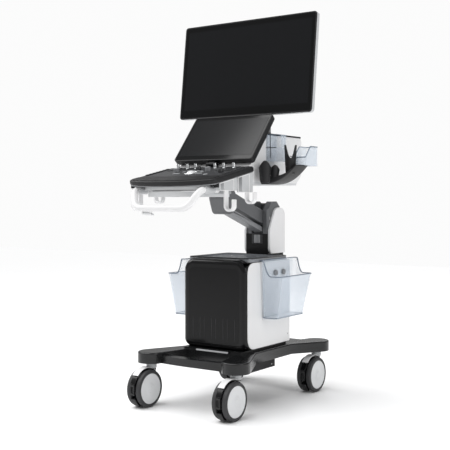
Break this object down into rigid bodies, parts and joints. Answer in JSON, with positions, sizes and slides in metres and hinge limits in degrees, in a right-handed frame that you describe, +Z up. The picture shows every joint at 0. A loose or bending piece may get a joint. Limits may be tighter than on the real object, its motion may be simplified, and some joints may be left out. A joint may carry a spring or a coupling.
{
  "type": "ultrasound machine",
  "caption": "Cart-based ultrasound machine: wheeled base, cabinet with baskets, lifting console with touch screen and probe rack, and a monitor on a folding arm.",
  "frame": {"origin": "middle of the machine's footprint on the floor", "axes": "+Z up; the user stands at -Y; +X is the machine's side with the probe rack and bins"},
  "size_m": [0.636, 0.8434, 1.5147],
  "materials": {
    "base_dark": "semi-gloss near-black moulded covers",
    "black_gloss": "glossy black moulding",
    "black_matte": "fine matt black",
    "white": "satin white moulding",
    "light_grey": "light grey, fine texture",
    "mid_grey": "mid grey, fine texture",
    "graphite": "graphite powder coat",
    "grey_clear": "grey translucent moulding",
    "clear": "clear moulding with a blue tint",
    "screen_glass": "black display glass",
    "rubber": "soft black rubber",
    "tyre": "dark grey tread",
    "steel": "turned steel",
    "sheet_metal": "zinc-grey sheet",
    "aluminium": "extruded aluminium"
  },
  "bodies": {
    "base": {"base_frame": "base_dark", "base_underbox": "base_dark", "caster_stems": "steel", "cabinet_chassis": "sheet_metal", "cabinet_front_cover": "black_gloss", "cabinet_front_panel": "black_gloss", "probe_ports": "black_matte", "cabinet_side_panels": "white", "cabinet_rear_cover": "mid_grey", "cabinet_tray": "grey_clear", "power_supply": "sheet_metal", "column_mast": "aluminium", "column_front_cover": "base_dark", "column_side_covers": "white", "arm_yoke": "graphite", "arm_pivot_pins": "steel", "basket_left": "clear", "basket_right": "clear"},
    "fan": {"fan_rotor": "black_matte"},
    "upper_link": {"arm_upper_link": "graphite"},
    "lower_link": {"arm_lower_link": "light_grey"},
    "bracket": {"arm_bracket": "graphite"},
    "console": {"console_shell": "light_grey", "console_panel": "graphite", "console_handle": "white", "probe_holders": "light_grey", "cable_hooks": "white", "rear_housing": "white", "housing_lid": "light_grey", "clear_bins": "clear", "probe_rack": "rubber"},
    "handle_lever": {"handle_lever": "mid_grey"},
    "drawer": {"keyboard_drawer": "mid_grey"},
    "trackball": {"trackball": "black_gloss"},
    "power_button": {"power_button": "light_grey"},
    "freeze_button": {"freeze_button": "light_grey"},
    "gain_knob": {"gain_knob": "mid_grey"},
    "mode_knob": {"mode_knob": "mid_grey"},
    "touch_screen": {"touch_shell": "white", "touch_glass": "screen_glass"},
    "monitor_post": {"monitor_post": "light_grey"},
    "wing_right": {"wing_right": "light_grey"},
    "wing_left": {"wing_left": "light_grey"},
    "link_right": {"link_right": "mid_grey"},
    "link_left": {"link_left": "mid_grey"},
    "cradle": {"monitor_cradle": "black_matte"},
    "monitor": {"monitor_shell": "black_gloss", "monitor_glass": "screen_glass"},
    "caster_fl": {"caster_housing_fl": "base_dark"},
    "wheels_fl": {"caster_wheels_fl": "tyre"},
    "brake_fl": {"brake_tab_fl": "light_grey"},
    "caster_fr": {"caster_housing_fr": "base_dark"},
    "wheels_fr": {"caster_wheels_fr": "tyre"},
    "brake_fr": {"brake_tab_fr": "light_grey"},
    "caster_rl": {"caster_housing_rl": "base_dark"},
    "wheels_rl": {"caster_wheels_rl": "tyre"},
    "brake_rl": {"brake_tab_rl": "light_grey"},
    "caster_rr": {"caster_housing_rr": "base_dark"},
    "wheels_rr": {"caster_wheels_rr": "tyre"},
    "brake_rr": {"brake_tab_rr": "light_grey"}
  },
  "joints": [
    {"name": "fan_spin", "type": "hinge", "parent": "base", "child": "fan", "pos_m": [0.062, 0.20575, 0.33], "axis": [0, 1, 0], "continuous": true},
    {"name": "caster_fl_swivel", "type": "hinge", "parent": "base", "child": "caster_fl", "pos_m": [-0.196, -0.22025, 0.15], "axis": [0, 0, 1], "continuous": true},
    {"name": "wheels_fl_roll", "type": "hinge", "parent": "caster_fl", "child": "wheels_fl", "pos_m": [-0.196, -0.26025, 0.07], "axis": [1, 0, 0], "continuous": true},
    {"name": "brake_fl_press", "type": "hinge", "parent": "caster_fl", "child": "brake_fl", "pos_m": [-0.196, -0.31225, 0.092], "axis": [1, 0, 0], "range_deg": [0, 20]},
    {"name": "caster_fr_swivel", "type": "hinge", "parent": "base", "child": "caster_fr", "pos_m": [0.196, -0.22025, 0.15], "axis": [0, 0, 1], "continuous": true},
    {"name": "wheels_fr_roll", "type": "hinge", "parent": "caster_fr", "child": "wheels_fr", "pos_m": [0.196, -0.26025, 0.07], "axis": [1, 0, 0], "continuous": true},
    {"name": "brake_fr_press", "type": "hinge", "parent": "caster_fr", "child": "brake_fr", "pos_m": [0.196, -0.31225, 0.092], "axis": [1, 0, 0], "range_deg": [0, 20]},
    {"name": "caster_rl_swivel", "type": "hinge", "parent": "base", "child": "caster_rl", "pos_m": [-0.196, 0.36975, 0.15], "axis": [0, 0, 1], "continuous": true},
    {"name": "wheels_rl_roll", "type": "hinge", "parent": "caster_rl", "child": "wheels_rl", "pos_m": [-0.196, 0.32975, 0.07], "axis": [1, 0, 0], "continuous": true},
    {"name": "brake_rl_press", "type": "hinge", "parent": "caster_rl", "child": "brake_rl", "pos_m": [-0.196, 0.27775, 0.092], "axis": [1, 0, 0], "range_deg": [0, 20]},
    {"name": "caster_rr_swivel", "type": "hinge", "parent": "base", "child": "caster_rr", "pos_m": [0.196, 0.36975, 0.15], "axis": [0, 0, 1], "continuous": true},
    {"name": "wheels_rr_roll", "type": "hinge", "parent": "caster_rr", "child": "wheels_rr", "pos_m": [0.196, 0.32975, 0.07], "axis": [1, 0, 0], "continuous": true},
    {"name": "brake_rr_press", "type": "hinge", "parent": "caster_rr", "child": "brake_rr", "pos_m": [0.196, 0.27775, 0.092], "axis": [1, 0, 0], "range_deg": [0, 20]},
    {"name": "arm_lift", "type": "hinge", "parent": "base", "child": "upper_link", "pos_m": [0, 0.23975, 0.708], "axis": [-1, 0, 0], "range_deg": [-9, 21]},
    {"name": "arm_lower_pivot", "type": "hinge", "parent": "base", "child": "lower_link", "pos_m": [0, 0.23975, 0.658], "axis": [-1, 0, 0], "range_deg": [-9, 21]},
    {"name": "bracket_level", "type": "hinge", "parent": "upper_link", "child": "bracket", "pos_m": [0, -0.02525, 0.79925], "axis": [-1, 0, 0], "range_deg": [-21, 9]},
    {"name": "console_swivel", "type": "hinge", "parent": "bracket", "child": "console", "pos_m": [0, -0.02525, 0.85], "axis": [0, 0, 1], "range_deg": [-30, 30]},
    {"name": "handle_lever_squeeze", "type": "hinge", "parent": "console", "child": "handle_lever", "pos_m": [-0.06, -0.40925, 0.735], "axis": [1, 0, 0], "range_deg": [0, 15], "stiffness_Nm_per_rad": 0.3, "springref_deg": -9.74},
    {"name": "drawer_slide", "type": "slide", "parent": "console", "child": "drawer", "axis": [0, -1, 0], "range_m": [0, 0.15]},
    {"name": "trackball_roll", "type": "hinge", "parent": "console", "child": "trackball", "pos_m": [0, -0.22586, 0.87062], "axis": [1, 0, 0], "continuous": true},
    {"name": "power_button_press", "type": "slide", "parent": "console", "child": "power_button", "axis": [0, 0.2011, -0.9796], "range_m": [0, 0.002], "stiffness_N_per_m": 300, "springref_m": -0.003},
    {"name": "freeze_button_press", "type": "slide", "parent": "console", "child": "freeze_button", "axis": [0, 0.2011, -0.9796], "range_m": [0, 0.002], "stiffness_N_per_m": 300, "springref_m": -0.003},
    {"name": "gain_knob_turn", "type": "hinge", "parent": "console", "child": "gain_knob", "pos_m": [-0.09, -0.19927, 0.88833], "axis": [0, -0.2011, 0.9796], "continuous": true},
    {"name": "mode_knob_turn", "type": "hinge", "parent": "console", "child": "mode_knob", "pos_m": [0.045, -0.18227, 0.89182], "axis": [0, -0.2011, 0.9796], "continuous": true},
    {"name": "touch_screen_tilt", "type": "hinge", "parent": "console", "child": "touch_screen", "pos_m": [0, -0.09525, 0.919], "axis": [1, 0, 0], "range_deg": [0, 20]},
    {"name": "post_swivel", "type": "hinge", "parent": "console", "child": "monitor_post", "pos_m": [0, 0.25975, 1.07], "axis": [0, 0, 1], "range_deg": [-60, 60]},
    {"name": "wing_right_fold", "type": "hinge", "parent": "monitor_post", "child": "wing_right", "pos_m": [0.04, 0.26075, 1.166], "axis": [0, -1, 0], "range_deg": [0, 18]},
    {"name": "link_right_level", "type": "hinge", "parent": "wing_right", "child": "link_right", "pos_m": [0.215, 0.26075, 1.248], "axis": [0, -1, 0], "range_deg": [-18, 0]},
    {"name": "wing_left_fold", "type": "hinge", "parent": "monitor_post", "child": "wing_left", "pos_m": [-0.04, 0.26075, 1.166], "axis": [0, 1, 0], "range_deg": [0, 18]},
    {"name": "link_left_level", "type": "hinge", "parent": "wing_left", "child": "link_left", "pos_m": [-0.215, 0.26075, 1.248], "axis": [0, 1, 0], "range_deg": [-18, 0]},
    {"name": "monitor_pan", "type": "hinge", "parent": "link_right", "child": "cradle", "pos_m": [0, 0.22375, 1.249], "axis": [0, 0, 1], "range_deg": [-8, 8]},
    {"name": "monitor_tilt", "type": "hinge", "parent": "cradle", "child": "monitor", "pos_m": [0, 0.17775, 1.25], "axis": [1, 0, 0], "range_deg": [-5, 20]}
  ],
  "couplings": [
    {"joint": "arm_lower_pivot", "follows": "arm_lift", "ratio": 1},
    {"joint": "bracket_level", "follows": "arm_lift", "ratio": -1},
    {"joint": "link_right_level", "follows": "wing_right_fold", "ratio": -1},
    {"joint": "wing_left_fold", "follows": "wing_right_fold", "ratio": 1},
    {"joint": "link_left_level", "follows": "wing_right_fold", "ratio": -1}
  ]
}
